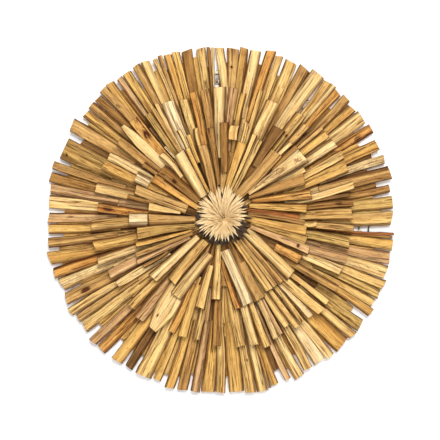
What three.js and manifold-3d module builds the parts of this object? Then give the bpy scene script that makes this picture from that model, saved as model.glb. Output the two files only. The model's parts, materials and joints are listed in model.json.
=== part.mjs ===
// A round sunburst wall hanging: short riven sticks fanned out in three overlapping tiers on a
// welded wire frame, with a dried flower head at the centre.
// Millimetres. +Z is up and the wall is the plane y = 0 behind the piece, which faces -Y.
// Angles on the face are clockwise from the top, as the viewer sees them.
import * as THREE from "three";
import { mergeVertices } from "three/addons/utils/BufferGeometryUtils.js";
import Module from "manifold-3d";

const wasm = await Module();
wasm.setup();

// Driving dimensions
const RIM_RADIUS = 300; // where the outer tier ends
const OUTER_START = 176; // where the outer tier begins, under the middle one
const MIDDLE_START = 104;
const MIDDLE_END = 238;
const CORE_START = 37; // short sticks fill the centre, on the plate and under the top tier
const TIER_DEPTH = 10.3; // room that one layer of sticks takes up
const SECTORS = 6; // stand-ins for the sticks of one tier, side by side
const SECTOR_GAP = 0.6; // between two neighbouring sectors

const WIRE = 2.6; // diameter of the frame's wire
const WELD = 0.2; // how far a ring sinks into the spokes
const RING_RADII = [180, 239.5, 256];
const SPOKES = 6; // the first is half a pitch from the top
const PLATE = { radius: 124, thickness: 1.5, lap: 12 }; // at the centre, lapped by the spokes
const GAP = 0.4; // clearance between pieces that touch

const TAB = { width: 26, low: 235, high: 259, thickness: 2, corner: 4 };
const NAIL = { radius: 3.5, height: 247.5 }; // the hole in the tab

const FLOWER = { x: 3, z: 5 }; // the flower head sits a little off the centre
const BRACT_RADIUS = 48;
const FLOWER_RADIUS = 52;
const FLOWER_TOP = 52; // height of its crown above the wall

// Heights above the wall
const FRAME_DEPTH = 2 * WIRE - WELD;
const BACK = FRAME_DEPTH + GAP; // where the backs of the lowest sticks lie
const MIDDLE_SLOPE = 0.15; // rise of the middle tier over the inner ends of the outer one
const TOP_START = 38;
const TOP_SLOPE = 0.16; // the same for the top tier over the middle one
const THICKNESS = [8.6, 9.3, 10]; // of the sticks of the top tier, by turns
const KNEE = 69; // radius at which each top stick's second angle is given

// Wood tones, with the roughness of dry split wood
const WOOD = {
  white: 0xf0e2b4,
  pale: 0xecd08c,
  straw: 0xdfbb74,
  honey: 0xd2a257,
  olive: 0xb8954e,
  rose: 0xc99f76,
  tan: 0xbc9160,
  orange: 0xbf7a3a,
  red: 0xa05030,
  brown: 0x8d6238,
  dark: 0x6c4e3a,
};
const WOOD_ROUGHNESS = 0.75;

// The sticks of the top tier, each as: angle of its tip, its angle at KNEE, radius of its tip,
// length, width at the tip, width at the inner end, wood.
const TOP_STICKS = [
  [2, 6, 168, 84, 12, 8.5, "tan"],
  [8.4, 8.4, 164, 24, 14, 12, "straw"],
  [16, 13.4, 139, 92, 15, 7, "straw"],
  [21.9, 19.8, 159, 106, 7.5, 3.6, "straw"],
  [26.4, 25, 154, 102, 8.5, 4.6, "pale"],
  [32.6, 31.2, 187, 77, 19, 9, "dark"],
  [40.1, 37.4, 152, 104, 19.5, 14, "honey"],
  [52, 47.4, 181, 114, 24, 5.6, "pale"],
  [63.5, 53.8, 161, 100, 20, 5, "tan"],
  [74, 60.8, 162, 101, 15, 5.4, "rose"],
  [82.2, 69.2, 150, 98, 15, 7, "honey"],
  [88, 77, 136, 90, 8.5, 5.4, "red"],
  [92, 84, 145, 98, 8, 5.8, "tan"],
  [97.3, 91.8, 149, 104, 16, 8, "honey"],
  [103.2, 99, 152, 100, 13.2, 4.4, "olive"],
  [109.2, 105.2, 161, 108, 13, 5.4, "rose"],
  [116.4, 115.2, 152, 47, 16, 10.4, "orange"],
  [128, 120.4, 154, 108, 17.5, 14, "pale"],
  [136, 131.8, 150, 102, 8.8, 4.6, "tan"],
  [140, 137.3, 148, 100, 8.6, 4.8, "tan"],
  [145.2, 144.8, 147, 102, 13, 8, "straw"],
  [153.6, 155, 152, 70, 17, 11, "tan"],
  [161.6, 168.2, 152, 100, 16, 12.5, "white"],
  [168.6, 177.6, 155, 88, 12, 3.6, "orange"],
  [183.2, 184.2, 137, 94, 14, 7.4, "straw"],
  [193.2, 191, 155, 75, 14, 7, "straw"],
  [210.4, 200.2, 152, 93, 18.5, 12.5, "pale"],
  [218.6, 217.6, 135, 90, 16, 13, "honey"],
  [229.5, 232.4, 154, 105, 17, 8.8, "straw"],
  [243.4, 241.4, 161, 100, 9, 4.2, "rose"],
  [248, 246.6, 158, 104, 8.5, 4.4, "tan"],
  [254, 252, 152, 98, 9, 3.8, "honey"],
  [261.2, 259.4, 146, 100, 19, 6.6, "olive"],
  [270.4, 271, 124.5, 80, 18.5, 8.4, "tan"],
  [270.4, 270.4, 157, 31, 18, 16, "white"],
  [280.2, 280.2, 126, 55, 15.5, 3, "pale"],
  [290, 288.2, 156, 94, 14.5, 12.5, "honey"],
  [297.2, 297.2, 163, 25, 17, 14, "white"],
  [301.9, 300.2, 137, 92, 13.5, 6.6, "honey"],
  [310.3, 310.8, 135, 84, 18, 10.4, "brown"],
  [328, 325.4, 137, 86, 18.5, 12.4, "pale"],
  [335.4, 336.4, 137, 84, 7.2, 4, "pale"],
  [345.8, 345.6, 134, 88, 14.5, 8.6, "honey"],
  [353.4, 356.4, 160, 98, 12, 4.6, "tan"],
];

const metal = new THREE.MeshStandardMaterial({ color: 0x2f2c2a, roughness: 0.5, metalness: 0.85 });
const wood = (tone) =>
  new THREE.MeshStandardMaterial({ color: WOOD[tone], roughness: WOOD_ROUGHNESS, metalness: 0 });
const dried = (color) => new THREE.MeshStandardMaterial({ color, roughness: 0.9, metalness: 0 });

const part = new THREE.Group();

function add(name, geometry, material) {
  const mesh = new THREE.Mesh(geometry, material);
  mesh.name = name;
  part.add(mesh);
  return mesh;
}

// A point on the face at a clockwise angle in degrees, a radius and a height above the wall.
function onFace(angle, radius, height) {
  const turn = THREE.MathUtils.degToRad(angle);
  return new THREE.Vector3(radius * Math.sin(turn), -height, radius * Math.cos(turn));
}

function toManifold(geometry) {
  const bare = geometry.clone();
  bare.deleteAttribute("normal");
  bare.deleteAttribute("uv");
  const merged = mergeVertices(bare, 1e-3);
  return new wasm.Manifold(
    new wasm.Mesh({
      numProp: 3,
      vertProperties: merged.attributes.position.array,
      triVerts: new Uint32Array(merged.index.array),
    }),
  );
}

function toGeometry(solid) {
  const { vertProperties, triVerts } = solid.getMesh();
  const geometry = new THREE.BufferGeometry();
  geometry.setAttribute("position", new THREE.BufferAttribute(vertProperties, 3));
  geometry.setIndex(new THREE.BufferAttribute(triVerts, 1));
  geometry.computeVertexNormals();
  return geometry;
}

// A body of revolution about the piece's axis, from [radius, height above the wall] pairs.
function turned(profile, segments) {
  const points = profile.map(([radius, height]) => new THREE.Vector2(radius, height));
  return new THREE.LatheGeometry(points, segments).rotateX(Math.PI);
}

// Rings welded on the front of straight spokes, which meet in a round plate.
function wireFrame() {
  const reach = RING_RADII.at(-1);
  const pieces = RING_RADII.map((radius) =>
    new THREE.TorusGeometry(radius, WIRE / 2, 6, 60)
      .rotateX(Math.PI / 2)
      .translate(0, WELD - 1.5 * WIRE, 0),
  );
  const length = reach - PLATE.radius + PLATE.lap;
  for (let i = 0; i < SPOKES; i++) {
    pieces.push(
      new THREE.CylinderGeometry(WIRE / 2, WIRE / 2, length, 8)
        .translate(0, reach - length / 2, 0)
        .rotateX(Math.PI / 2)
        .rotateY(((i + 0.5) * 2 * Math.PI) / SPOKES)
        .translate(0, -WIRE / 2, 0),
    );
  }
  const { radius, thickness } = PLATE;
  const plate = new THREE.CylinderGeometry(radius, radius, thickness, 72);
  pieces.push(plate.translate(0, -thickness / 2, 0));
  return toGeometry(pieces.map(toManifold).reduce((all, piece) => all.add(piece)));
}

// Flat tab with a nail hole, on the wall side of the two outer rings.
function hangerTab() {
  const { corner, low, high } = TAB;
  const side = TAB.width / 2 - corner;
  const outline = new THREE.Shape();
  outline.absarc(side, high - corner, corner, 0, Math.PI / 2);
  outline.absarc(-side, high - corner, corner, Math.PI / 2, Math.PI);
  outline.absarc(-side, low + corner, corner, Math.PI, 1.5 * Math.PI);
  outline.absarc(side, low + corner, corner, 1.5 * Math.PI, 2 * Math.PI);
  const hole = new THREE.Path();
  hole.absarc(0, NAIL.height, NAIL.radius, 0, 2 * Math.PI, true);
  outline.holes.push(hole);
  const plate = { depth: TAB.thickness, bevelEnabled: false, curveSegments: 8 };
  return new THREE.ExtrudeGeometry(outline, plate).rotateX(Math.PI / 2);
}

// A whole tier as one even layer.
function tierLayer(profile) {
  return toManifold(turned([...profile, profile[0]], 72));
}

// A wedge from near the axis to past the rim, which cuts one sector out of a tier. Moving it out
// by SECTOR_GAP along its middle leaves that gap between two sectors 60 degrees wide.
function sectorCutter(index) {
  const width = (2 * Math.PI) / SECTORS;
  const middle = (index + 0.5) * width;
  const apex = new THREE.Vector2(SECTOR_GAP, 0).rotateAround(new THREE.Vector2(), middle);
  const sides = [index * width, (index + 1) * width].map((angle) =>
    new THREE.Vector2(1.3 * RIM_RADIUS, 0).rotateAround(new THREE.Vector2(), angle).add(apex),
  );
  const wedge = { depth: 2 * FLOWER_TOP, bevelEnabled: false };
  const geometry = new THREE.ExtrudeGeometry(new THREE.Shape([apex, ...sides]), wedge);
  return toManifold(geometry.rotateX(Math.PI / 2));
}

function addTier(name, layer, tone) {
  for (let i = 0; i < SECTORS; i++) {
    add(name + "_" + (i + 1), toGeometry(layer.intersect(sectorCutter(i))), wood(tone));
  }
}

// A riven stick: a five-sided section with one split-off edge, tapered from tip to inner end.
function rivenStick(length, tipWidth, innerWidth, thickness, side) {
  const section = new THREE.Shape();
  section.moveTo(0, -0.5 * side);
  section.lineTo(0, 0.5 * side);
  section.lineTo(0.62 * thickness, 0.5 * side);
  section.lineTo(thickness, 0.26 * side);
  section.lineTo(0.92 * thickness, -0.46 * side);
  section.closePath();
  const geometry = new THREE.ExtrudeGeometry(section, { depth: length, bevelEnabled: false });
  const at = geometry.attributes.position;
  for (let i = 0; i < at.count; i++) {
    const along = at.getZ(i) / length;
    at.setY(i, at.getY(i) * THREE.MathUtils.lerp(innerWidth, tipWidth, along));
  }
  return geometry;
}

// Height of the backs of the top tier at a radius.
const topBack = (radius) => BACK + TOP_SLOPE * (radius - TOP_START);

// Lays a stick from its inner end towards its tip, its back on the tier below.
function topStick(number, [tipAngle, kneeAngle, reach, length, tipWidth, innerWidth, tone]) {
  const thickness = THICKNESS[number % THICKNESS.length];
  const geometry = rivenStick(length, tipWidth, innerWidth, thickness, number % 2 ? 1 : -1);
  const tip = onFace(tipAngle, reach, 0);
  const knee = onFace(kneeAngle, KNEE, 0);
  const inward = knee.sub(tip).normalize();
  const inner = tip.clone().addScaledVector(inward, length);
  tip.y = -topBack(reach);
  inner.y = -topBack(inner.length());
  const along = tip.sub(inner).normalize();
  const front = new THREE.Vector3(0, -1, 0);
  front.addScaledVector(along, -front.dot(along)).normalize();
  const across = along.clone().cross(front);
  const mesh = add("top_stick_" + String(number).padStart(2, "0"), geometry, wood(tone));
  mesh.position.copy(inner);
  mesh.quaternion.setFromRotationMatrix(new THREE.Matrix4().makeBasis(front, across, along));
}

const seat = PLATE.thickness + GAP; // what stands on the plate starts here
const neck = TOP_START - 8; // and passes between the inner ends of the sticks
const shelf = 20; // height at which the bracts spread over those ends

add("wire_frame", wireFrame(), metal);
add("hanger_tab", hangerTab(), metal);

const outer = [
  [OUTER_START, BACK],
  [RIM_RADIUS, BACK],
  [RIM_RADIUS, BACK + TIER_DEPTH],
  [OUTER_START, BACK + TIER_DEPTH],
];
const middleEndBack = BACK + MIDDLE_SLOPE * (MIDDLE_END - MIDDLE_START);
const middle = [
  [CORE_START, seat],
  [MIDDLE_START, seat],
  [MIDDLE_START, BACK],
  [MIDDLE_END, middleEndBack],
  [MIDDLE_END, middleEndBack + TIER_DEPTH],
  [MIDDLE_START, BACK + TIER_DEPTH],
  [MIDDLE_START, topBack(MIDDLE_START) - 2 * GAP],
  [CORE_START, topBack(CORE_START) - 2 * GAP],
];
addTier("outer_sticks", tierLayer(outer), "straw");
addTier("middle_sticks", tierLayer(middle), "honey");
TOP_STICKS.forEach((stick, i) => topStick(i + 1, stick));

const bracts = [
  [0, seat],
  [0.7 * neck, seat],
  [neck, 0.5 * shelf],
  [neck, shelf],
  [BRACT_RADIUS - 2, shelf + 1],
  [BRACT_RADIUS, shelf + 5],
  [neck, shelf + 8],
  [0, shelf + 8],
];
const tuft = [
  [0, shelf + 8 + GAP],
  [neck, shelf + 8 + GAP],
  [BRACT_RADIUS, shelf + 5 + 2 * GAP],
  [FLOWER_RADIUS, shelf + 9],
  [0.94 * FLOWER_RADIUS, shelf + 17],
  [0.74 * FLOWER_RADIUS, FLOWER_TOP - 7],
  [0.42 * FLOWER_RADIUS, FLOWER_TOP - 2],
  [0, FLOWER_TOP],
];
const atFlower = [FLOWER.x, 0, FLOWER.z];
add("flower_bracts", turned(bracts, 28).translate(...atFlower), dried(0x3a2a22));
add("flower_head", turned(tuft, 28).translate(...atFlower), dried(0xe0c9a0));

export default part;
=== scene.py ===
import json
import math
import random

import bmesh
import bpy
from mathutils import Matrix, Vector, noise


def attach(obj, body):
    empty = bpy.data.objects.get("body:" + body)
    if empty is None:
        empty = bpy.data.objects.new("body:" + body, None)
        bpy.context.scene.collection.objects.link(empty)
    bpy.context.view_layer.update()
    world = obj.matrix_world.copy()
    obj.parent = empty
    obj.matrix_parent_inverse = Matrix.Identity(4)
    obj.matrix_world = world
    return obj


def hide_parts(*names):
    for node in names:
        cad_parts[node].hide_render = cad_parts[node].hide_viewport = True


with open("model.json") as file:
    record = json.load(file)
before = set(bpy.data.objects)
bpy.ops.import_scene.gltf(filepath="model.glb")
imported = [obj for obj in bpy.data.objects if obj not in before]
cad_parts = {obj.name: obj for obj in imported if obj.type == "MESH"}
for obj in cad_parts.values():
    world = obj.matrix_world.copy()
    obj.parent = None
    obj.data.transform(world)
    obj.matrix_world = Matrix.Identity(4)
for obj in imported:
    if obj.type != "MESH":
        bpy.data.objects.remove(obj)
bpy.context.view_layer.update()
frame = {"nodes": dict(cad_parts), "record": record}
mm = 0.001


# The piece hangs on the wall y = 0 and faces -Y. Angles are clockwise from the top, in degrees.
def onFace(angle, radius, height):
    turn = math.radians(angle)
    return Vector((radius * math.sin(turn), -height, radius * math.cos(turn)))


# How far one angle is past another, from -180 to 180
def turnFrom(other, angle):
    return (angle - other + 180) % 360 - 180


def eitherWay(dice, most):
    return dice.uniform(-most, most)


# Camera

camera = {"lens": 85, "sensor": 36, "width": 0.761, "aim": (-0.001, 0.0005)}


def addCamera():
    data = bpy.data.cameras.new("camera")
    data.lens = camera["lens"]
    data.sensor_width = camera["sensor"]
    away = camera["width"] * camera["lens"] / camera["sensor"]
    made = bpy.data.objects.new("camera", data)
    made.location = (camera["aim"][0], -away, camera["aim"][1])
    made.rotation_euler = (math.pi / 2, 0, 0)
    bpy.context.scene.collection.objects.link(made)
    bpy.context.scene.camera = made


addCamera()
print("camera placed")


# Shader helpers

# The linear colour of three display values from 0 to 255
def rgb(red, green, blue):
    def linear(value):
        value = value / 255
        return value / 12.92 if value <= 0.04045 else ((value + 0.055) / 1.055) ** 2.4
    return (linear(red), linear(green), linear(blue), 1)


def newGroup(name, inputs, outputs):
    group = bpy.data.node_groups.new(name, "ShaderNodeTree")
    for title, kind, value in inputs:
        socket = group.interface.new_socket(title, in_out="INPUT", socket_type="NodeSocket" + kind)
        socket.default_value = value
    for title, kind in outputs:
        group.interface.new_socket(title, in_out="OUTPUT", socket_type="NodeSocket" + kind)
    start = group.nodes.new("NodeGroupInput")
    end = group.nodes.new("NodeGroupOutput")
    return group, start.outputs, end.inputs


# A new node with its settings, and its sockets set or linked. A socket goes by its name or, as
# i0, i1 and so on, by its place.
def node(tree, kind, settings=None, **inputs):
    made = tree.nodes.new("ShaderNode" + kind)
    for key, value in (settings or {}).items():
        setattr(made, key, value)
    for key, value in inputs.items():
        byPlace = key[0] == "i" and key[1:].isdigit()
        socket = made.inputs[int(key[1:]) if byPlace else key]
        if isinstance(value, bpy.types.NodeSocket):
            tree.links.new(value, socket)
        else:
            socket.default_value = value
    return made


def place(tree, group, **inputs):
    return node(tree, "Group", {"node_tree": group}, **inputs).outputs


def maths(tree, operation, first, second=0.0, third=0.0):
    return node(tree, "Math", {"operation": operation}, i0=first, i1=second, i2=third).outputs[0]


def times(tree, first, second):
    return maths(tree, "MULTIPLY", first, second)


def opposite(tree, share):
    return maths(tree, "SUBTRACT", 1.0, share)


# A value moved from the range low..high to 0..1 or another range, and held there
def stretch(tree, value, low, high, newLow=0.0, newHigh=1.0):
    made = node(tree, "MapRange", {"clamp": True}, i0=value, i1=low, i2=high, i3=newLow, i4=newHigh)
    return made.outputs[0]


def blendColors(tree, share, first, second, mode="MIX"):
    made = node(tree, "Mix", {"data_type": "RGBA", "blend_type": mode}, i0=share, i6=first, i7=second)
    return made.outputs[2]


# A noise that is as fine as its three sizes say, in waves to a metre
def grainNoise(tree, vector, sizes, detail=3.0, roughness=0.55, distortion=0.0):
    scaled = node(tree, "VectorMath", {"operation": "MULTIPLY"}, i0=vector, i1=sizes).outputs[0]
    made = node(tree, "TexNoise", None, Vector=scaled, Scale=1.0,
                Detail=detail, Roughness=roughness, Distortion=distortion)
    return made.outputs[0]


def newMaterial(name):
    material = bpy.data.materials.new(name)
    material.use_nodes = True
    tree = material.node_tree
    return material, tree, tree.nodes["Principled BSDF"]


def bumped(tree, shader, height, distance):
    bump = node(tree, "Bump", None, Strength=1.0, Distance=distance, Height=height)
    tree.links.new(bump.outputs[0], shader.inputs["Normal"])


# Feeds what a finish's node group puts out to a material's shader
def feed(tree, shader, out, relief):
    tree.links.new(out["Color"], shader.inputs["Base Color"])
    tree.links.new(out["Roughness"], shader.inputs["Roughness"])
    bumped(tree, shader, out["Height"], relief)


# Wood

noKnot = (9, 9, 9)  # a place far from any knot


# Masks for marks in the wood: year rings, torn cracks, a knot's core and the rim round it
def woodMarks(group, space, knotPlace, fleck):
    bend = grainNoise(group, space, (60, 60, 11), 2.0, 0.5)
    ringPlace = node(group, "VectorMath", {"operation": "DOT_PRODUCT"}, i0=space, i1=(310, 190, 5))
    ringPhase = maths(group, "MULTIPLY_ADD", bend, 14.0, ringPlace.outputs["Value"])
    ring = stretch(group, maths(group, "SINE", ringPhase), -0.2, 1.0)
    torn = grainNoise(group, space, (210, 210, 5), 3.0, 0.55, 0.4)
    crackFar = maths(group, "ABSOLUTE", maths(group, "SUBTRACT", torn, 0.42))
    crack = opposite(group, stretch(group, crackFar, 0.006, 0.03))
    knotFar = node(group, "VectorMath", {"operation": "LENGTH"}, i0=knotPlace).outputs["Value"]
    knotFar = maths(group, "MULTIPLY_ADD", maths(group, "SUBTRACT", fleck, 0.5), 1.6, knotFar)
    knotCore = opposite(group, stretch(group, knotFar, 0.8, 1.05))
    knotHalo = opposite(group, stretch(group, knotFar, 1.0, 2.2))
    knotWave = maths(group, "SINE", times(group, knotFar, 7.0))
    knotRim = times(group, knotHalo, maths(group, "MULTIPLY_ADD", knotWave, 0.25, 0.55))
    return ring, crack, knotCore, knotRim


# Split wood, in a stick's own space: x across it, y through it, z along it. The colour runs in fine
# fibres, broader streaks and year rings, with painted shade towards the stick's back; the height has the
# fibres and torn splits.
def splitWoodGroup():
    group, given, result = newGroup("splitWood", [
        ("Space", "Vector", (0, 0, 0)),
        ("Light", "Color", (1, 1, 1, 1)),
        ("Wood", "Color", (0.6, 0.4, 0.2, 1)),
        ("Streak", "Color", (0.2, 0.1, 0.05, 1)),
        ("Streaks", "Float", 0.5),
        ("Mottle", "Float", 0.3),
        ("Sawn", "Float", 0.0),
        ("Edge", "Float", 0.0),
        ("Low", "Float", 0.0),
        ("Knot", "Vector", noKnot),
    ], [("Color", "Color"), ("Roughness", "Float"), ("Height", "Float")])
    space, light, dark = given["Space"], given["Light"], given["Streak"]
    fibre = grainNoise(group, space, (1300, 1300, 34), 3.0, 0.65)
    streak = grainNoise(group, space, (300, 300, 11), 4.0, 0.66, 0.5)
    broad = grainNoise(group, space, (110, 110, 9), 3.0, 0.55)
    whole = grainNoise(group, space, (9, 9, 4), 1.0, 0.5)
    fleck = grainNoise(group, space, (420, 420, 95), 4.0, 0.6, 0.8)
    stain = grainNoise(group, space, (70, 70, 26), 3.0, 0.6, 0.5)
    ring, crack, knotCore, knotRim = woodMarks(group, space, given["Knot"], fleck)
    # a near-black brown for cracks and knot cores, and also for the painted shade towards a stick's back
    deep = blendColors(group, 0.75, dark, (0.05, 0.011, 0.0004, 1))

    pale = stretch(group, maths(group, "ADD", broad, times(group, whole, 0.6)), 0.66, 0.96)
    color = blendColors(group, pale, given["Wood"], light)
    stained = times(group, stretch(group, stain, 0.52, 0.72), given["Mottle"])
    flecked = times(group, stretch(group, fleck, 0.55, 0.62), given["Mottle"])
    for share, mark in (
        (times(group, ring, times(group, given["Streaks"], 0.2)), dark),
        (times(group, stretch(group, streak, 0.48, 0.68), given["Streaks"]), dark),
        (times(group, stained, 0.7), dark),
        (times(group, flecked, 0.75), dark),
        (times(group, crack, 0.85), deep),
        (knotRim, dark),
        (knotCore, deep),
    ):
        color = blendColors(group, share, color, mark)
    shade = stretch(group, fibre, 0.25, 0.75, 0.72, 1.23)
    shadeColor = node(group, "CombineColor", None, i0=shade, i1=shade, i2=shade).outputs[0]
    color = blendColors(group, 1.0, color, shadeColor, "MULTIPLY")
    endColor = blendColors(group, 0.55, color, dark)
    edgeShare = times(group, maths(group, "POWER", given["Edge"], 2.0), maths(group, "ADD", fibre, 0.1))
    # painted shade: the colour goes darker towards the back of the stick, where the crevices between
    # sticks lie in shade
    paintedShadeShare = times(group, stretch(group, given["Low"], 0.06, 0.53), 0.95)
    color = blendColors(group, times(group, given["Sawn"], 0.75), color, endColor)
    color = blendColors(group, edgeShare, color, light)
    color = blendColors(group, paintedShadeShare, color, deep)
    group.links.new(color, result["Color"])

    group.links.new(stretch(group, fibre, 0.2, 0.8, 0.80, 0.58), result["Roughness"])
    height = maths(group, "MULTIPLY_ADD", fibre, 0.35, times(group, streak, 0.9))
    for mask, depth in ((ring, 0.12), (crack, 0.6), (knotCore, 1.5)):
        height = maths(group, "SUBTRACT", height, times(group, mask, depth))
    group.links.new(height, result["Height"])
    return group


splitWood = splitWoodGroup()


# The woods of the sticks: a light, a middle and a streak colour, how strongly it is streaked and
# how mottled it is.
woods = {
    "white": (rgb(244, 218, 168), rgb(228, 194, 134), rgb(158, 106, 52), 0.6, 0.4),
    "pale": (rgb(247, 214, 150), rgb(232, 190, 116), rgb(148, 92, 36), 0.65, 0.4),
    "straw": (rgb(241, 203, 130), rgb(219, 173, 99), rgb(134, 80, 28), 0.7, 0.5),
    "honey": (rgb(233, 189, 108), rgb(208, 156, 79), rgb(126, 68, 22), 0.7, 0.5),
    "olive": (rgb(220, 181, 106), rgb(190, 147, 80), rgb(108, 69, 25), 0.75, 0.6),
    "rose": (rgb(224, 183, 130), rgb(198, 151, 97), rgb(124, 73, 33), 0.75, 0.5),
    "tan": (rgb(218, 174, 106), rgb(190, 142, 79), rgb(108, 63, 24), 0.75, 0.5),
    "orange": (rgb(226, 171, 92), rgb(198, 136, 64), rgb(114, 53, 14), 0.75, 0.6),
    "red": (rgb(192, 122, 64), rgb(162, 90, 44), rgb(90, 38, 14), 0.7, 0.5),
    "brown": (rgb(188, 140, 77), rgb(156, 109, 53), rgb(88, 51, 18), 0.75, 0.6),
    "dark": (rgb(156, 113, 62), rgb(124, 86, 44), rgb(68, 41, 17), 0.75, 0.6),
    "flecked": (rgb(248, 220, 160), rgb(228, 186, 120), rgb(116, 68, 28), 0.85, 1.0),
    "burled": (rgb(230, 177, 98), rgb(202, 138, 66), rgb(98, 42, 10), 0.9, 1.0),
}
woodNames = list(woods)
woodFinish = {"specular": 0.14, "relief": 0.0009}
stickVectors = ("stickSpace", "knot")  # of a vertex: its place in the log, and from the knot
# the last layer, low, is how near the back a vertex is, which sets the painted shade
stickLayers = ("sawn", "edge", "low")  # whether it is on an end, on a long edge, near the back


def woodMaterial(name):
    light, wood, streak, streaks, mottle = woods[name]
    material, tree, shader = newMaterial(name + "Wood")
    space, knot = (node(tree, "Attribute", {"attribute_name": layer}).outputs["Vector"]
                   for layer in stickVectors)
    sawn, edge, low = (node(tree, "Attribute", {"attribute_name": layer}).outputs["Fac"]
                       for layer in stickLayers)
    out = place(tree, splitWood, Knot=knot, Space=space, Light=light, Wood=wood, Streak=streak,
                Streaks=streaks, Mottle=mottle, Sawn=sawn, Edge=edge, Low=low)
    feed(tree, shader, out, woodFinish["relief"])
    shader.inputs["Specular IOR Level"].default_value = woodFinish["specular"]
    return material


woodMaterials = [woodMaterial(name) for name in woodNames]
print("wood materials made")


# Sticks

relief = {
    "strip": 1.7 * mm,  # widest strip that a facet is cut into
    "step": 3.6 * mm,  # spacing of the rings along a stick
    "groove": 0.8 * mm,  # depth of the grooves that run with the grain
    "grooveRate": 260,  # grooves to a metre across
    "grooveRun": 14,  # and along
    "swell": 0.11,  # how much a stick widens and narrows on its way
    "swellRun": 22,  # how fast, along it
    "bow": 2.5 * mm,
    "chip": 0.9 * mm,  # unevenness of its long edges
    "chipRun": 75,
    "ledges": [0, 0.8 * mm, 1.4 * mm, 2.0 * mm],  # how deep a strip may be torn off its front
    "ledgePlace": 0.6, "ledgeTurn": 0.12,  # how far aside the strip is and runs at most
    "ledgeRamp": 1.2 * mm,
    "ledgeFrom": 0.55,  # of the depth
    "pointFrom": 0.6,  # where on its way a pointed stick starts to narrow
    "edge": 0.55 * mm,  # rounding of a sawn end
    "ragged": 0.45 * mm,
    "sharp": 0.5,  # angle between two faces, in radians, from which an edge stays sharp
    # painted shade on the flat of the back, against 1 at the back of the sides
    "backPaintedShade": 0.2,  # how low the flat of the back counts
    "logs": 6,  # how far apart in the grain the sticks are taken
}

# Sections of split sticks, across from -0.5 to 0.5 and from the back, 0, to the front, 1
sections = [
    [(-0.5, 0), (0.5, 0), (0.5, 0.3), (0.34, 0.95), (-0.2, 1), (-0.5, 0.45)],
    [(-0.46, 0), (0.5, 0), (0.5, 0.34), (0.14, 1), (-0.38, 0.8), (-0.5, 0.36)],
    [(-0.5, 0), (0.48, 0), (0.5, 0.4), (0.42, 0.84), (-0.34, 1), (-0.5, 0.3)],
    [(-0.48, 0), (0.5, 0), (0.5, 0.55), (0.42, 0.8), (-0.24, 1), (-0.5, 0.42)],
    [(-0.5, 0), (0.45, 0), (0.5, 0.36), (0.3, 0.92), (-0.4, 0.96), (-0.5, 0.6)],
]


def sectionFor(width, depth, dice):
    chosen = dice.choice(sections)
    flip = dice.choice([-1, 1])
    corners = [(flip * x * width, y * depth) for x, y in chosen]
    return corners if flip > 0 else corners[::-1]


# An empty shape with the layers that the wood reads
def newSticks():
    made = bmesh.new()
    for name in stickVectors:
        made.verts.layers.float_vector.new(name)
    for name in stickLayers:
        made.verts.layers.float.new(name)
    return made


# A smooth stick along +z, cut finely enough to be roughened, and the vertices inside its ends
def plainStick(corners, length):
    stick = newSticks()
    foot = stick.faces.new([stick.verts.new((x, y, 0)) for x, y in corners])
    for edge in foot.edges[:]:
        cuts = int(edge.calc_length() / relief["strip"])
        if cuts:
            bmesh.ops.subdivide_edges(stick, edges=[edge], cuts=cuts)
    grown = bmesh.ops.extrude_face_region(stick, geom=[foot])["geom"]
    tips = [item for item in grown if isinstance(item, bmesh.types.BMVert)]
    bmesh.ops.translate(stick, verts=tips, vec=(0, 0, length))
    long = [e for e in stick.edges if abs(e.verts[0].co.z - e.verts[1].co.z) > 0.5 * length]
    bmesh.ops.subdivide_edges(stick, edges=long, cuts=int(length / relief["step"]), use_grid_fill=True)
    ends = [f for f in stick.faces if len(f.verts) > 4]
    bmesh.ops.inset_individual(stick, faces=ends, thickness=relief["edge"])
    centre = bmesh.ops.poke(stick, faces=ends)["verts"]
    bmesh.ops.recalc_face_normals(stick, faces=stick.faces)
    stick.normal_update()
    inside = {v for f in stick.faces for v in f.verts if len(f.verts) == 3} | set(centre)
    return stick, inside


# Tells the wood where each vertex of a plain stick is
def markStick(stick, inside, length, half, front, seed, knot):
    spaceLayer, knotLayer = (stick.verts.layers.float_vector[name] for name in stickVectors)
    sawnLayer, _, paintedShadeLayer = (stick.verts.layers.float[name] for name in stickLayers)
    for vert in stick.verts:
        x, y, z = vert.co
        vert[spaceLayer] = vert.co + seed
        vert[sawnLayer] = 1.0 if vert in inside else 0.0
        vert[knotLayer] = noKnot
        if knot and y > 0.3 * front:
            aside, fromTip, halfWidth, halfLength = knot
            vert[knotLayer] = ((x / half - aside) * half / (halfWidth * mm), 0,
                               (z - length + fromTip * mm) / (halfLength * mm))
        # painted shade: the low layer rises towards the back, less on the flat of the back
        onBack = y < 0.02 * front and abs(x) < 0.9 * half
        vert[paintedShadeLayer] = relief["backPaintedShade"] if onBack else 1 - min(max(y / front, 0), 1)


# Smooths a stick but for its sharp edges, and marks those that run along it
def smoothStick(stick):
    edgeLayer = stick.verts.layers.float["edge"]
    stick.normal_update()
    for edge in stick.edges:
        edge.smooth = edge.calc_face_angle(0) < relief["sharp"]
        start, end = edge.verts
        if not edge.smooth and abs(end.co.z - start.co.z) > 0.5 * edge.calc_length():
            start[edgeLayer] = end[edgeLayer] = 1.0
    for face in stick.faces:
        face.smooth = True


# Adds a shape to the piece that it is a part of
def joinTo(target, shape):
    made = bpy.data.meshes.new("part")
    shape.to_mesh(made)
    shape.free()
    target.from_mesh(made)
    bpy.data.meshes.remove(made)


# A shape's matrix from its root and its tip, both on its back, with its front to the room
def layAlong(root, tip):
    along = (tip - root).normalized()
    front = Vector((0, -1, 0))
    front = (front - along * front.dot(along)).normalized()
    across = front.cross(along)
    turn = Matrix((across, front, along)).transposed().to_4x4()
    return Matrix.Translation(root) @ turn


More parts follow.
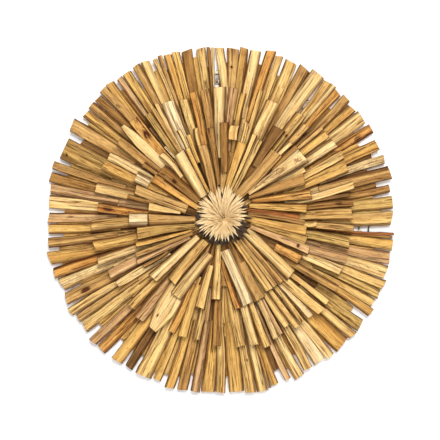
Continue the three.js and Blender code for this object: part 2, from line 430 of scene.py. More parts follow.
# One split stick between two places on its back. The width is its inner end's, and taper times
# that its tip's. From a list of woods one is drawn, and a slant up to the one given.
def growStick(target, inner, tip, width, depth, taper, wood, dice, slant=0, calm=1.0, knot=None, point=0):
    corners = sectionFor(width, depth, dice)
    if isinstance(wood, list):
        wood = dice.choice(wood)
    if slant:
        slant = eitherWay(dice, slant)
    length = (tip - inner).length
    stick, inside = plainStick(corners, length)
    seed = Vector([eitherWay(dice, relief["logs"]) for _ in range(3)])
    front = max(y for _, y in corners)
    half = max(x for x, _ in corners)
    bow = eitherWay(dice, 1) * relief["bow"] * calm
    ledgeAt = eitherWay(dice, relief["ledgePlace"]) * half
    ledgeRun = eitherWay(dice, relief["ledgeTurn"])
    ledge = dice.choice(relief["ledges"]) * calm
    markStick(stick, inside, length, half, front, seed, knot)
    rate, run = relief["grooveRate"], relief["grooveRun"]
    for vert in stick.verts:
        x, y, z = vert.co
        along = z / length
        grain = Vector((x * rate, y * rate, z * run)) + seed
        groove = relief["groove"] * (0.5 + 0.5 * noise.noise(grain)) ** 1.5
        past = x - ledgeAt - ledgeRun * (z - 0.5 * length)
        inFront = y > relief["ledgeFrom"] * front
        drop = ledge * min(max(past / relief["ledgeRamp"], 0), 1) if inFront else 0
        pointed = max((along - relief["pointFrom"]) / (1 - relief["pointFrom"]), 0) ** 1.5
        swell = relief["swell"] * calm * noise.noise(Vector((seed.x, seed.y, z * relief["swellRun"])))
        widen = (1 + (taper - 1) * along) * (1 - point * pointed) + swell
        side = Vector((vert.normal.x, vert.normal.y))
        if side.length > 0.05:
            side.normalize()
            x -= side.x * groove
            y -= side.y * groove
        y -= drop if y > 2 * mm else 0
        chip = relief["chip"] * noise.noise(Vector((seed.z + 9 * side.x, seed.y, z * relief["chipRun"])))
        x = x * widen + side.x * chip + bow * 4 * along * (1 - along)
        if along < 0.001 or along > 0.999:
            z += relief["ragged"] * noise.noise(grain * 1.7) + (slant * x if along > 0.5 else 0)
            if vert not in inside:
                z += relief["edge"] * (0.6 if along < 0.5 else -0.6)
        elif along > 0.5:
            z += slant * x * (2 * along - 1)
        vert.co = (x, y, z)
    smoothStick(stick)
    for face in stick.faces:
        face.material_index = woodNames.index(wood)
    stick.transform(layAlong(inner, tip))
    joinTo(target, stick)


def newObject(shape, name, materials):
    mesh = bpy.data.meshes.new(name)
    shape.to_mesh(mesh)
    shape.free()
    for material in materials:
        mesh.materials.append(material)
    made = bpy.data.objects.new(name, mesh)
    bpy.context.scene.collection.objects.link(made)
    return made


def finishPiece(target, name, replaced, materials):
    piece = newObject(target, name, materials)
    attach(piece, "root")
    if replaced:
        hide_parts(replaced)
    return piece


# A piece of sticks, which keeps only the woods that its faces use
def finishSticks(target, name, replaced):
    mesh = finishPiece(target, name, replaced, woodMaterials).data
    used = sorted({face.material_index for face in mesh.polygons})
    kept = [mesh.materials[index] for index in used]
    places = [used.index(face.material_index) for face in mesh.polygons]
    mesh.materials.clear()
    for material in kept:
        mesh.materials.append(material)
    mesh.polygons.foreach_set("material_index", places)


# Knots and borer holes by a stick's first angle or, in the top tier, its number: place across
# from -1 to 1, distance from the tip, half width and half length in millimetres
outerKnots = {
    2.3: (0.2, 32, 1.9, 2.1), 291.5: (0.45, 9, 1.9, 1.9), 241: (0.1, 38, 3.0, 8.0),
    168.4: (0.3, 56, 1.4, 1.6), 57: (-0.3, 30, 2.4, 6.0), 316.6: (0.2, 40, 2.0, 4.0),
}
middleKnots = {
    207.6: (-0.3, 24, 1.6, 3.0), 317: (0.0, 34, 3.4, 8.0), 274: (0.0, 18, 3.0, 7.0),
    81: (0.2, 24, 2.2, 5.0), 250: (0.0, 20, 2.0, 4.0), 35: (-0.3, 44, 1.6, 3.0),
}
topKnots = {16: (0.1, 20, 1.8, 2.4), 40: (0.2, 30, 2.0, 4.0)}
otherWoods = {  # top sticks whose wood isn't simply the one of their slot
    1: "brown", 3: "honey", 5: "straw", 7: "tan", 8: "flecked", 10: "burled", 17: "burled",
    24: "burled", 28: "straw", 29: "pale", 37: "tan", 39: "orange", 42: "honey", 43: "tan", 44: "brown",
}


# Top tier. The sticks keep the places and depth of the CAD ones. Their widths are against those.
topTier = {
    "broad": 1.5,  # at the inner end
    "tip": 1.3,  # at the tip
    "slant": 0.16,
    "calm": 0.6,  # how much of the swell, bow and ledge they have
}
topTones = {m["node"]: m["material_slot"].split("_")[0] for m in frame["record"]["subparts"]}
topNames = [name for name in sorted(frame["nodes"]) if name.startswith("top_stick_")]


# The corners of a CAD stick's inner end and of its tip, its only faces with five
def readStick(name):
    def fromMiddle(face):
        place = face.calc_center_median()
        return Vector((place.x, place.z)).length

    copy = bmesh.new()
    copy.from_mesh(frame["nodes"][name].data)
    bmesh.ops.remove_doubles(copy, verts=copy.verts, dist=0.01 * mm)
    bmesh.ops.dissolve_limit(copy, angle_limit=math.radians(8), verts=copy.verts, edges=copy.edges)
    ends = sorted((face for face in copy.faces if len(face.verts) == 5), key=fromMiddle)
    corners, tipCorners = ([v.co.copy() for v in face.verts] for face in (ends[0], ends[-1]))
    copy.free()
    return corners, tipCorners


# The place between the two corners that are next to the wall
def backMiddle(corners):
    first, second = sorted(corners, key=lambda corner: -corner.y)[:2]
    return (first + second) / 2


def addTopStick(name, dice):
    def widthOf(points):
        return max(p.x for p in points) - min(p.x for p in points)

    corners, tipCorners = readStick(name)
    inner, tip = backMiddle(corners), backMiddle(tipCorners)
    undo = layAlong(inner, tip).inverted()
    flat, tipFlat = ([undo @ corner for corner in points] for points in (corners, tipCorners))
    width = widthOf(flat) * topTier["broad"]
    depth = max(p.y for p in flat)
    taper = widthOf(tipFlat) / width * topTier["tip"]
    number = int(name[-2:])
    wood = otherWoods.get(number, topTones[name])
    target = newSticks()
    growStick(target, inner, tip, width, depth, taper, wood, dice,
              slant=topTier["slant"], calm=topTier["calm"], knot=topKnots.get(number))
    finishSticks(target, name.replace("top_stick", "split_stick"), name)


dice = random.Random(11)
for stickName in topNames:
    addTopStick(stickName, dice)
print("top tier:", len(topNames), "sticks")


# Outer tier. Each stick: the angles of its two edges at the rim, its wood, then, where it isn't
# radial, how many degrees its inner end is off.
outerTier = {
    "start": 172 * mm,
    "startVary": (0, 9),  # millimetres that an inner end is further out
    "reach": 299.2 * mm,
    "wander": 3.0 * mm,  # how far a tip falls short of the rim or stands past it
    "wanderShare": (-1.2, 1.6),  # times that
    "square": 298.3 * mm,  # half the width and height of the whole piece
    "clear": 0.14,  # how far a stick's corner stays clear of them, of its width
    "limit": 308 * mm,
    "off": 1.1,  # degrees that an inner end is off at most
    "back": 5.5 * mm, "backVary": (0, 0.4), "slope": 0,
    "depth": 6.7 * mm, "depthShare": (0.85, 1.0),
    "raise": 3.3 * mm,  # of every other stick
    "broad": 1.08,
    "narrow": 0.82, "narrowShare": (0.92, 1.12),  # inner width to tip width
    "slant": 0.22,
}
# Sticks behind its gaps, short of the rim and some millimetres wider than the gap
fillers = {
    "short": (14 * mm, 36 * mm), "leastGap": 0.25, "wider": (7, 10), "depth": 0.45,
    "off": 0.6, "taper": 1.05, "slant": 0.2, "point": 0.5,
    # mostly darker woods, partly painted shade for the gaps
    "woods": ["tan", "olive", "honey", "brown", "dark"],
}
sectorCount = 6
pointedSticks = {207.6: 0.6, 311.4: 0.6, 236: 0.35, 16: 0.3}
# Gaps where the low sticks are of the dark wood, as painted shade for the deep shadow there
paintedShadeGaps = {"places": (46, 124, 185), "half": 3}
openGaps = {"places": (92.7, 339), "half": 0.6}  # where the wall and the wires show
outerSticks = [
    (358.2, 361, "pale", 4.2), (2.3, 6, "tan"), (6.5, 9.2, "honey"), (10, 13.5, "pale"),
    (15, 18.3, "orange"), (18.6, 21, "straw"), (22, 26, "straw"), (27, 31, "tan"),
    (31.5, 36, "pale"), (36.2, 38.8, "straw"), (39, 41, "pale"), (41.2, 44, "orange"),
    (44.3, 47.5, "tan"), (48, 51, "honey"), (51.5, 56, "pale"), (57, 60.2, "burled"),
    (62.5, 66, "honey"), (68, 71, "flecked"), (72, 76.5, "tan"), (78, 80.5, "brown"),
    (82, 86, "olive"), (87, 91.5, "straw"), (94, 95.0, "red"), (95.2, 96.2, "brown"), (96.5, 100, "honey"),
    (100.5, 104.5, "rose"), (105.5, 109.5, "pale"), (110, 113.2, "straw"), (113.5, 116.6, "olive"),
    (117, 119.8, "straw"), (120.1, 123, "honey"), (125, 129, "olive"), (129.5, 132.5, "straw"),
    (133, 138.4, "honey"), (139.6, 142.6, "pale"), (143, 147, "white"), (148, 151, "pale"),
    (151.5, 155, "pale"), (156, 158, "rose"), (160.5, 162.9, "honey"), (163.2, 164.3, "brown"),
    (164.6, 168, "pale"), (168.4, 171.8, "straw"), (172.2, 177, "honey"), (178.5, 181.8, "straw"),
    (182.2, 186.4, "honey"), (187, 190, "rose"), (191, 194.5, "tan"), (195.5, 198.5, "honey"),
    (200.5, 203, "honey"), (204, 209, "straw"), (210.5, 213.4, "dark"), (214.5, 218.5, "honey"),
    (221, 224.5, "orange"), (225, 228, "rose"), (230, 233.8, "straw"), (234.2, 236.8, "tan"),
    (237.2, 240, "pale"), (241, 245, "tan"), (246, 250, "flecked"), (250.6, 254, "orange"),
    (255.5, 259.5, "honey"), (261, 264, "tan"), (265.5, 268.8, "honey"), (269.2, 272.4, "rose"),
    (274, 278.5, "pale"), (279, 282.3, "rose"), (282.7, 286, "brown"), (287, 289.6, "tan"),
    (291.5, 298, "olive"), (300.6, 305, "tan"), (307, 310, "honey"), (310.4, 313, "tan"),
    (313.5, 316.2, "brown"), (316.6, 319.3, "tan"), (319.7, 322.5, "honey"), (323.5, 325.6, "rose"),
    (326, 329, "honey"), (330, 332.6, "tan"), (333, 336, "pale"), (337, 338.4, "straw"),
    (339, 340.4, "tan"), (341, 343.4, "honey"), (343.7, 346.2, "honey"), (347, 350.5, "brown"),
    (352, 355, "straw"), (355.3, 356.6, "brown"), (356.8, 358, "white"),
]

# Middle tier: the angles of its two edges, the radius of its tip, its wood
middleTier = {
    "start": 100 * mm, "startVary": (0, 8), "off": 1.0,
    "back": 5.3 * mm, "backVary": (0, 0.4), "slope": 0.15,
    "depth": 6.8 * mm, "depthShare": (0.85, 1.0), "raise": 3.3 * mm,
    "broad": 1.1, "narrow": 0.76, "narrowShare": (0.95, 1.2), "slant": 0.18,
}
middleSticks = [
    (357, 362.3, 227, "pale"), (3.8, 7.5, 227, "rose"), (9, 11.6, 220, "honey"),
    (16, 18.6, 232, "straw"), (21, 27, 221, "pale"), (35, 39.5, 227, "straw"),
    (40.5, 44, 218, "tan"), (46.8, 48.8, 234, "tan"), (49.2, 52.5, 233, "honey"),
    (53.5, 58, 235, "pale"), (60, 63.5, 236, "straw"), (64, 69, 234, "honey"),
    (73.5, 76.6, 234, "pale"), (78, 79.6, 225, "dark"), (81, 84, 228, "brown"),
    (85, 89.5, 225, "straw"), (92, 95, 227, "tan"), (98, 102.5, 223, "olive"),
    (105, 109, 225, "rose"), (110.5, 115, 223, "pale"), (119, 122, 230, "tan"),
    (126.4, 129, 230, "straw"), (130, 134, 232, "straw"), (135.5, 138.6, 225, "white"),
    (140, 142.2, 222, "straw"), (142.8, 145.8, 225, "straw"), (146.2, 149.5, 213, "straw"),
    (151, 153, 220, "rose"), (153.5, 156.2, 222, "pale"), (158, 161.5, 230, "straw"),
    (162.5, 166.5, 220, "pale"), (168.5, 173, 218, "straw"), (180, 184, 214, "brown"),
    (190, 193.2, 208, "straw"), (196, 200.5, 209, "honey"), (202, 205.5, 209, "orange"),
    (207.6, 216.6, 219, "pale"), (217.2, 222.2, 219, "rose"), (224, 228, 213, "straw"),
    (236, 240.6, 208, "pale"), (241.5, 246, 211, "rose"), (249.5, 253.6, 221, "pale"),
    (256, 261, 220, "honey"), (265, 270, 221, "straw"), (274, 278, 211, "burled"),
    (282.5, 287, 220, "pale"), (293, 297.6, 221, "honey"), (298, 302, 220, "pale"),
    (306, 310, 220, "tan"), (311.4, 316.8, 232, "pale"), (317, 322, 227, "burled"),
    (324, 327.4, 220, "olive"), (327.8, 329.8, 222, "tan"), (330.1, 332.2, 227, "pale"),
    (333, 339, 221, "white"), (341, 345, 216, "straw"), (346, 349.6, 223, "orange"),
    (351, 355, 225, "tan"),
]

# Short sticks tucked between the two upper tiers: angle, width, radius of the tip, length, wood
tuckedSticks = [
    (15, 9, 171, 50, "straw"), (42.4, 9, 178, 52, "pale"), (46.4, 10, 180, 56, "brown"),
    (59, 10, 168, 48, "straw"), (92, 12, 164, 30, "straw"), (239, 7, 154, 48, "brown"),
    (284.4, 9, 164, 46, "brown"), (306, 10, 163, 44, "brown"), (318, 12, 152, 52, "pale"),
    (323, 5, 158, 52, "white"), (335, 8, 170, 50, "pale"), (339.4, 9, 156, 50, "honey"),
    (345, 10, 163, 50, "straw"),
]
tucked = {
    "start": 38 * mm, "slope": 0.16, "back": 5.2 * mm, "depth": 6.5 * mm, "narrow": 0.8,
    "taper": 1.25, "slant": 0.14,
}
lowSticks = {
    "pitch": 4.5, "reach": 200 * mm, "reachDown": (0, 1), "start": 106 * mm, "startDown": (-1, 0),
    "back": 5.5 * mm, "depth": 5 * mm, "lap": 3 * mm, "narrow": 0.75, "taper": 1.33,
}
# The core sticks' woods are the darker ones, painted shade for the crevices between the top sticks
coreSticks = {
    "count": 46, "vary": 0.25, "start": 38.5 * mm, "startVary": (0, 5), "reach": 116 * mm,
    "reachVary": (-3, 3), "off": 2, "under": 5.0 * mm, "depth": 3.2 * mm, "wider": (1.05, 1.3),
    "taper": 0.95, "calm": 0.5, "woods": ["brown", "dark", "tan", "brown"],
}


# The piece for an angle. The CAD sectors start at the right and run anticlockwise from the front.
def sectorAt(targets, angle):
    count = len(targets)
    return targets[int(((90 - angle) % 360) / (360 / count)) % count]


# Where each gap of a tier starts, and how wide it is
def gapsOf(sticks):
    for (_, last, *_), (first, *_) in zip(sticks, sticks[1:] + sticks[:1]):
        yield last, turnFrom(last, first)


def isIn(gaps, angle):
    return any(abs(angle - place) < gaps["half"] for place in gaps["places"])


def finishTier(targets, tier):
    for number, target in enumerate(targets, 1):
        finishSticks(target, f"{tier}_split_sticks_{number}", f"{tier}_sticks_{number}")


def addFillers(targets, dice):
    for last, gap in gapsOf(outerSticks):
        angle = last + gap / 2
        if gap < fillers["leastGap"] or isIn(openGaps, angle):
            continue
        reach = outerTier["reach"] - dice.uniform(*fillers["short"])
        width = math.radians(gap) * reach + dice.uniform(*fillers["wider"]) * mm
        tip = onFace(angle, reach, outerTier["back"])
        off = eitherWay(dice, fillers["off"])
        inner = onFace(angle + off, outerTier["start"], outerTier["back"])
        growStick(sectorAt(targets, angle), inner, tip, width, fillers["depth"] * outerTier["depth"],
                  fillers["taper"], fillers["woods"], dice, slant=fillers["slant"], point=fillers["point"])


# One stick of the outer or the middle tier, every other one raised
def addTierStick(spec, targets, index, angle, width, reach, off, wood, dice, **extra):
    def backAt(radius):
        return spec["back"] + spec["slope"] * (radius - spec["start"]) + lift

    start = spec["start"] + dice.uniform(*spec["startVary"]) * mm
    depth = spec["depth"] * dice.uniform(*spec["depthShare"])
    lift = dice.uniform(*spec["backVary"]) * mm + (0 if index % 2 else spec["raise"])
    tip = onFace(angle, reach, backAt(reach))
    inner = onFace(angle + off, start, backAt(start))
    narrow = spec["narrow"] * dice.uniform(*spec["narrowShare"])
    growStick(sectorAt(targets, angle), inner, tip, width * narrow, depth, 1 / narrow, wood, dice,
              slant=spec["slant"], **extra)


def addOuterTier():
    spec = outerTier
    dice = random.Random(5)
    targets = [newSticks() for _ in range(sectorCount)]
    for index, (first, last, wood, *lean) in enumerate(outerSticks):
        angle = (first + last) / 2
        corner = 1 / max(abs(math.sin(math.radians(angle))), abs(math.cos(math.radians(angle))))
        width = math.radians(last - first) * spec["reach"] * spec["broad"]
        reach = spec["reach"] + dice.uniform(*spec["wanderShare"]) * spec["wander"]
        reach = min(reach, spec["square"] * corner - spec["clear"] * width, spec["limit"])
        off = lean[0] if lean else eitherWay(dice, spec["off"])
        addTierStick(spec, targets, index, angle, width, reach, off, wood, dice,
                     knot=outerKnots.get(first))
    addFillers(targets, dice)
    finishTier(targets, "outer")


# The outer tier's inner ends, where they show between the middle sticks
def addLowSticks(targets, dice):
    spec = lowSticks
    for last, gap in gapsOf(middleSticks):
        count = math.ceil(gap / spec["pitch"])
        for index in range(count):
            angle = last + gap * (index + 0.5) / count
            nearest = min(outerSticks, key=lambda row: abs(turnFrom(angle, (row[0] + row[1]) / 2)))
            width = math.radians(gap / count) * spec["reach"] + spec["lap"]
            tip = onFace(angle, spec["reach"], spec["back"] + dice.uniform(*spec["reachDown"]) * mm)
            inner = onFace(angle, spec["start"], spec["back"] + dice.uniform(*spec["startDown"]) * mm)
            # in those gaps the dark wood is painted shade
            growStick(sectorAt(targets, angle), inner, tip, width * spec["narrow"], spec["depth"],
                      spec["taper"], "dark" if isIn(paintedShadeGaps, angle) else nearest[2], dice)


# Short sticks on the plate, which show between the inner ends of the top tier, in dark woods as painted
# shade
def addCoreSticks(targets, dice):
    spec = coreSticks
    pitch = 360 / spec["count"]
    for index in range(spec["count"]):
        angle = pitch * (index + eitherWay(dice, spec["vary"]))
        start = spec["start"] + dice.uniform(*spec["startVary"]) * mm
        reach = spec["reach"] + dice.uniform(*spec["reachVary"]) * mm
        depth = spec["depth"]
        rise = [tucked["slope"] * (radius - tucked["start"]) - depth for radius in (start, reach)]
        inner = onFace(angle, start, spec["under"] + rise[0])
        tip = onFace(angle + eitherWay(dice, spec["off"]), reach, spec["under"] + rise[1])
        width = math.radians(pitch) * start * dice.uniform(*spec["wider"])
        growStick(sectorAt(targets, angle), inner, tip, width, depth, reach / start * spec["taper"],
                  spec["woods"], dice, calm=spec["calm"])


# The short sticks between the two upper tiers
def addTuckedSticks(targets, dice):
    def backAt(radius):
        return tucked["back"] + tucked["slope"] * (radius - tucked["start"])

    for angle, width, reach, length, wood in tuckedSticks:
        reach, length, width = reach * mm, length * mm, width * mm
        start = reach - length
        tip = onFace(angle, reach, backAt(reach))
        inner = onFace(angle, start, backAt(start))
        growStick(sectorAt(targets, angle), inner, tip, width * tucked["narrow"], tucked["depth"],
                  tucked["taper"], wood, dice, slant=tucked["slant"])


def addMiddleTier():
    spec = middleTier
    dice = random.Random(8)
    targets = [newSticks() for _ in range(sectorCount)]
    for index, (first, last, reach, wood) in enumerate(middleSticks):
        angle = (first + last) / 2
        reach *= mm
        width = math.radians(last - first) * reach * spec["broad"]
        off = eitherWay(dice, spec["off"])
        addTierStick(spec, targets, index, angle, width, reach, off, wood, dice,
                     knot=middleKnots.get(first), point=pointedSticks.get(first, 0))
    addTuckedSticks(targets, dice)
    addLowSticks(targets, dice)
    addCoreSticks(targets, dice)
    finishTier(targets, "middle")


addOuterTier()
addMiddleTier()
print("outer and middle tiers:", len(outerSticks) + len(middleSticks) + len(tuckedSticks), "sticks")


# Flower head

flower = {
    "worn": 0.11,  # how worn it is at the lower right
    "middle": (2.5 * mm, 9 * mm),  # of the pale petals, across and up
    "heart": (9 * mm, -5 * mm),  # the small dark dimple
    "root": 30 * mm,  # height above the wall at which the petals start
    "uneven": 0.16,  # how much the reach of the petals comes and goes round the head
    "notches": [(336, 8, 0.24), (262, 7, 0.12)],  # angle, half width, share that is missing
    "curl": -0.1,
    # rows of petals from the outside in: count, tilt off the wall in degrees, reach, width
    "rows": [
        (60, 9, 47, 4.5), (70, 17, 44, 4.1), (70, 27, 39, 3.7), (60, 38, 32, 3.3),
        (46, 50, 25, 2.9), (34, 62, 18, 2.5), (20, 74, 11, 2.1),
    ],
}
bracts = {
    "middle": (6.5 * mm, 3 * mm), "heart": (6.5 * mm, 3 * mm), "root": 27 * mm,
    "worn": 0, "uneven": 0, "notches": [], "curl": -0.08,
    "rows": [(22, 6, 49, 8), (18, 12, 46, 8)],
}
petals = {
    "top": 51 * mm,
    "spare": 1 * mm,
    "near": (0.3, 7 * mm),  # where a petal starts: of its reach, and at most
    "wornAt": 118,  # the angle where petals are worn the most
    "gone": 4, "shorter": 0.4,  # chance that a worn one is missing, and how much shorter it is
    "angleVary": 0.45,  # of the pitch
    "tiltVary": 5, "tipVary": 9, "twist": 0.5,
    "reachShare": (0.88, 1.06), "widthShare": (0.75, 1.2), "curlShare": (0.3, 1.2),
    "waves": 1.6,  # in the head's outline
    "flat": 0.24, "cup": 0.35,  # thickness to width, and how much it is cupped
}


# A pointed, slightly cupped petal along +z, one metre long and one wide
def petalShape():
    petal = bmesh.new()
    bmesh.ops.create_cone(petal, cap_ends=True, segments=6, radius1=0.5, radius2=0.5, depth=1)
    bmesh.ops.translate(petal, verts=petal.verts, vec=(0, 0, 0.5))
    long = [e for e in petal.edges if abs(e.verts[0].co.z - e.verts[1].co.z) > 0.5]
    bmesh.ops.subdivide_edges(petal, edges=long, cuts=5)
    for vert in petal.verts:
        along = vert.co.z
        width = (0.45 + 1.1 * along) * (1 - along) ** 0.5 * 1.05 + 0.03
        vert.co.x *= width
        vert.co.y *= petals["flat"] * width
        vert.co.y += petals["cup"] * vert.co.x * vert.co.x
    return petal


def addPetal(target, shape, root, tip, width, curl, twist):
    petal = shape.copy()
    length = (tip - root).length
    layer = petal.verts.layers.float_vector.new("stickSpace")
    seed = root * 40
    for vert in petal.verts:
        x, y, z = vert.co
        vert[layer] = Vector((x * width, y * width, z * length)) + seed
        vert.co = (x * width, y * width + curl * length * z * z, z * length)
    for face in petal.faces:
        face.smooth = True
    petal.transform(layAlong(root, tip) @ Matrix.Rotation(twist, 4, "Z"))
    joinTo(target, petal)


# How far the petals reach at an angle, against their row's reach
def outline(spec, angle, share):
    turn = math.radians(angle)
    waves = petals["waves"]
    wave = noise.noise(Vector((waves * math.cos(turn), waves * math.sin(turn), 4)))
    reach = 1 + spec["uneven"] * wave * share
    for middle, half, missing in spec["notches"]:
        away = abs(turnFrom(middle, angle))
        reach -= missing * share * max(1 - away / half, 0)
    return reach


def addPetals(spec, dice, name, replaced, material):
    shape = petalShape()
    target = bmesh.new()
    target.verts.layers.float_vector.new("stickSpace")
    middle, heart = (Vector((aside, 0, up)) for aside, up in (spec["middle"], spec["heart"]))
    for count, tilt, reach, width in spec["rows"]:
        share = reach / spec["rows"][0][2]
        base = heart.lerp(middle, share)
        for index in range(count):
            angle = 360 * (index + eitherWay(dice, petals["angleVary"])) / count
            slope = math.radians(tilt + eitherWay(dice, petals["tiltVary"]))
            out = reach * mm * dice.uniform(*petals["reachShare"]) * outline(spec, angle, share)
            bare = spec["worn"] * max(math.cos(math.radians(angle - petals["wornAt"])), 0) * share
            if dice.random() < petals["gone"] * bare:
                continue
            out *= 1 - petals["shorter"] * bare
            near = min(petals["near"][0] * out, petals["near"][1])
            root = base + onFace(angle, near, spec["root"])
            rise = min(math.tan(slope) * (out - near), petals["top"] - spec["root"] - petals["spare"])
            tipAngle = angle + eitherWay(dice, petals["tipVary"])
            tip = base + onFace(tipAngle, out, spec["root"] + rise)
            addPetal(target, shape, root, tip, width * mm * dice.uniform(*petals["widthShare"]),
                     spec["curl"] * dice.uniform(*petals["curlShare"]),
                     eitherWay(dice, petals["twist"]))
    shape.free()
    bmesh.ops.recalc_face_normals(target, faces=target.faces)
    finishPiece(target, name, replaced, [material])


# Dry petals, in a petal's own space, with veins along it and darker spots
def driedGroup():
    group, given, result = newGroup("driedPetal", [
        ("Space", "Vector", (0, 0, 0)),
        ("Pale", "Color", (0.8, 0.6, 0.4, 1)),
        ("Shade", "Color", (0.3, 0.2, 0.1, 1)),
    ], [("Color", "Color"), ("Roughness", "Float"), ("Height", "Float")])
    vein = grainNoise(group, given["Space"], (2400, 2400, 60), 3.0, 0.6)
    spot = grainNoise(group, given["Space"], (300, 300, 120), 3.0, 0.6)
    share = maths(group, "MULTIPLY_ADD", stretch(group, spot, 0.5, 0.75), 0.5,
                  times(group, stretch(group, vein, 0.45, 0.75), 0.45))
    group.links.new(blendColors(group, share, given["Pale"], given["Shade"]), result["Color"])
    group.links.new(stretch(group, vein, 0.2, 0.8, 0.9, 0.65), result["Roughness"])
    group.links.new(maths(group, "ADD", vein, spot), result["Height"])
    return group


driedPetal = driedGroup()
driedFinish = {"specular": 0.25, "relief": 0.0003}


def driedMaterial(name, pale, shade):
    material, tree, shader = newMaterial(name)
    space = node(tree, "Attribute", {"attribute_name": "stickSpace"}).outputs["Vector"]
    out = place(tree, driedPetal, Space=space, Pale=pale, Shade=shade)
    feed(tree, shader, out, driedFinish["relief"])
    shader.inputs["Specular IOR Level"].default_value = driedFinish["specular"]
    return material


petalMaterial = driedMaterial("driedPetal", rgb(242, 214, 162), rgb(208, 166, 114))
bractMaterial = driedMaterial("darkBract", rgb(66, 50, 38), rgb(30, 22, 16))
dice = random.Random(3)
addPetals(flower, dice, "flower_petals", "flower_head", petalMaterial)
addPetals(bracts, dice, "flower_dark_bracts", "flower_bracts", bractMaterial)
print("flower made")


# Frame

steel = {
    "wire": (rgb(70, 66, 62), 0.45),  # colour, how rusty
    "tab": (rgb(120, 116, 110), 0.25),
    "rust": rgb(104, 62, 36),
    "relief": 0.00015,
}


def steelGroup():
    group, given, result = newGroup("agedSteel", [
        ("Steel", "Color", (0.03, 0.03, 0.03, 1)),
        ("Rust", "Color", (0.12, 0.05, 0.02, 1)),
        ("Rusting", "Float", 0.4),
    ], [("Color", "Color"), ("Roughness", "Float"), ("Metallic", "Float"), ("Height", "Float")])
    where = node(group, "TexCoord").outputs["Object"]
    cloud = grainNoise(group, where, (95, 95, 95), 5.0, 0.65)
    fine = grainNoise(group, where, (1400, 1400, 1400), 2.0, 0.6)
    share = times(group, stretch(group, cloud, 0.5, 0.68), given["Rusting"])
    color = blendColors(group, share, given["Steel"], given["Rust"])
    color = blendColors(group, times(group, fine, 0.25), color, given["Rust"])
    group.links.new(color, result["Color"])
    rough = maths(group, "MULTIPLY_ADD", share, 0.4, maths(group, "MULTIPLY_ADD", fine, 0.2, 0.3))
    group.links.new(rough, result["Roughness"])
    group.links.new(maths(group, "SUBTRACT", 0.9, share), result["Metallic"])
    group.links.new(maths(group, "ADD", fine, cloud), result["Height"])
    return group


agedSteel = steelGroup()


def steelMaterial(name, color, rusting):
    material, tree, shader = newMaterial(name)
    out = place(tree, agedSteel, Steel=color, Rust=steel["rust"], Rusting=rusting)
    feed(tree, shader, out, steel["relief"])
    tree.links.new(out["Metallic"], shader.inputs["Metallic"])
    return material


def dressFrame():
    wire = steelMaterial("blackWire", *steel["wire"])
    tab = steelMaterial("tabSteel", *steel["tab"])
    for name, material in (("wire_frame", wire), ("hanger_tab", tab)):
        mesh = frame["nodes"][name].data
        mesh.materials.clear()
        mesh.materials.append(material)


dressFrame()


# Hot glue, in blobs between the sticks and the frame and in the gaps of the middle tier

glue = {
    "rings": [(239.5, 1.8, 6.6), (256, 1.8, 6.6), (121, 2.5, 7.2)],  # radius, lowest, highest
    "chance": 0.62,
    "size": (3.4 * mm, 5.6 * mm),
    "turnVary": 1, "radiusVary": 2,
    "tall": 0.8, "lumps": 0.22, "lumpRate": 300,
    "pale": rgb(226, 216, 190), "dull": rgb(196, 178, 140),
    "soft": 0.4, "softDepth": (0.004, 0.003, 0.002),  # how light passes into it
    "relief": 0.0004,
}


def glueMaterial():
    material, tree, shader = newMaterial("hotGlue")
    where = node(tree, "TexCoord").outputs["Object"]
    cloud = grainNoise(tree, where, (240, 240, 240), 3.0, 0.6)
    color = blendColors(tree, stretch(tree, cloud, 0.4, 0.7), glue["pale"], glue["dull"])
    tree.links.new(color, shader.inputs["Base Color"])
    tree.links.new(stretch(tree, cloud, 0.3, 0.7, 0.15, 0.35), shader.inputs["Roughness"])
    shader.inputs["Subsurface Weight"].default_value = glue["soft"]
    shader.inputs["Subsurface Radius"].default_value = glue["softDepth"]
    bumped(tree, shader, cloud, glue["relief"])
    return material


def addGlue():
    dice = random.Random(21)
    target = bmesh.new()
    angles = [(row[0] + row[1]) / 2 for row in outerSticks]
    for radius, low, high in glue["rings"]:
        for angle in angles:
            if dice.random() > glue["chance"]:
                continue
            size = dice.uniform(*glue["size"])
            blob = bmesh.ops.create_icosphere(target, subdivisions=2, radius=1)["verts"]
            bmesh.ops.scale(target, verts=blob, vec=(size, (high - low) / 2 * mm, size * glue["tall"]))
            turn = eitherWay(dice, glue["turnVary"])
            away = eitherWay(dice, glue["radiusVary"])
            spot = onFace(angle + turn, (radius + away) * mm, (low + high) / 2 * mm)
            for vert in blob:
                vert.co *= 1 + glue["lumps"] * noise.noise(vert.co * glue["lumpRate"] + spot * 500)
            bmesh.ops.translate(target, verts=blob, vec=spot)
    for face in target.faces:
        face.smooth = True
    finishPiece(target, "hot_glue", None, [glueMaterial()])


addGlue()
print("frame and glue made")


# Stage and lights

stage = {
    "wall": 3.0,
    "wallPlace": 0.6 * mm,  # just behind the frame
    "wallGrey": 0.95, "wallRough": 0.95, "wallSpecular": 0.1,
    "floor": -0.46, "floorSize": 6.0, "floorGrey": 0.82, "floorRough": 0.9,
}


def paint(name, grey, rough):
    material, tree, shader = newMaterial(name)
    shader.inputs["Base Color"].default_value = (grey, grey, grey, 1)
    shader.inputs["Roughness"].default_value = rough
    return material, tree, shader


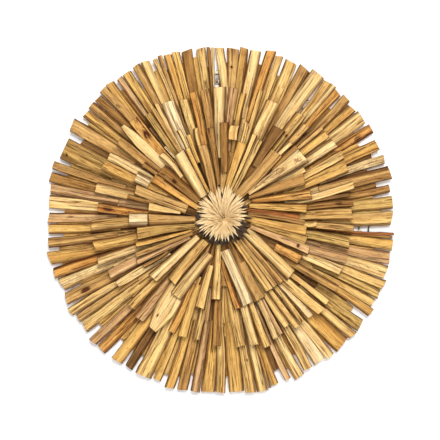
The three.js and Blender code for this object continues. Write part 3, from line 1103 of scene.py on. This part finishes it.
# A wall that is seen from the front only, so that the back of the piece can be looked at
def wallMaterial():
    material, tree, shader = paint("wallPaint", stage["wallGrey"], stage["wallRough"])
    shader.inputs["Specular IOR Level"].default_value = stage["wallSpecular"]
    clear = tree.nodes.new("ShaderNodeBsdfTransparent")
    behind = node(tree, "NewGeometry").outputs["Backfacing"]
    mix = node(tree, "MixShader", None, i0=behind, i1=shader.outputs[0], i2=clear.outputs[0])
    tree.links.new(mix.outputs[0], tree.nodes["Material Output"].inputs[0])
    return material


def addStagePiece(shape, name, material):
    made = newObject(shape, name, [material])


def addStage():
    wall = bmesh.new()
    bmesh.ops.create_grid(wall, x_segments=1, y_segments=1, size=stage["wall"] / 2)
    bmesh.ops.rotate(wall, verts=wall.verts, matrix=Matrix.Rotation(math.pi / 2, 3, "X"))
    lift = stage["floor"] + stage["wall"] / 2
    bmesh.ops.translate(wall, verts=wall.verts, vec=(0, stage["wallPlace"], lift))
    addStagePiece(wall, "wall", wallMaterial())
    floor = bmesh.new()
    bmesh.ops.create_grid(floor, x_segments=1, y_segments=1, size=stage["floorSize"] / 2)
    bmesh.ops.translate(floor, verts=floor.verts, vec=(0, 0, stage["floor"]))
    addStagePiece(floor, "floor", paint("floorPaint", stage["floorGrey"], stage["floorRough"])[0])


lights = {
    # place, power, size
    "key": ((0.28, -2.25, 1.12), 58.5, 0.9),
    "fill": ((-1.3, -1.8, -0.3), 8, 1.5),
    "back": ((0.7, 1.5, 0.9), 26, 1.0),
}
worldLight = 0.34


# Lets a light behind the wall reach the back of the piece
def passWall(light):
    through = bpy.data.collections.new("passed")
    through.objects.link(bpy.data.objects["wall"])
    light.light_linking.blocker_collection = through
    through.collection_objects[0].light_linking.link_state = "EXCLUDE"


def addLights():
    for name, (spot, power, size) in lights.items():
        data = bpy.data.lights.new(name, "AREA")
        data.energy = power
        data.size = size
        made = bpy.data.objects.new(name, data)
        made.location = spot
        made.rotation_euler = (-Vector(spot)).to_track_quat("-Z", "Y").to_euler()
        bpy.context.scene.collection.objects.link(made)
        if name == "back":
            passWall(made)
    world = bpy.data.worlds.new("world")
    world.use_nodes = True
    background = world.node_tree.nodes["Background"]
    background.inputs[0].default_value = (1, 1, 1, 1)
    background.inputs[1].default_value = worldLight
    bpy.context.scene.world = world
    bpy.context.scene.view_settings.view_transform = "Standard"


addStage()
addLights()
print("stage and lights made")
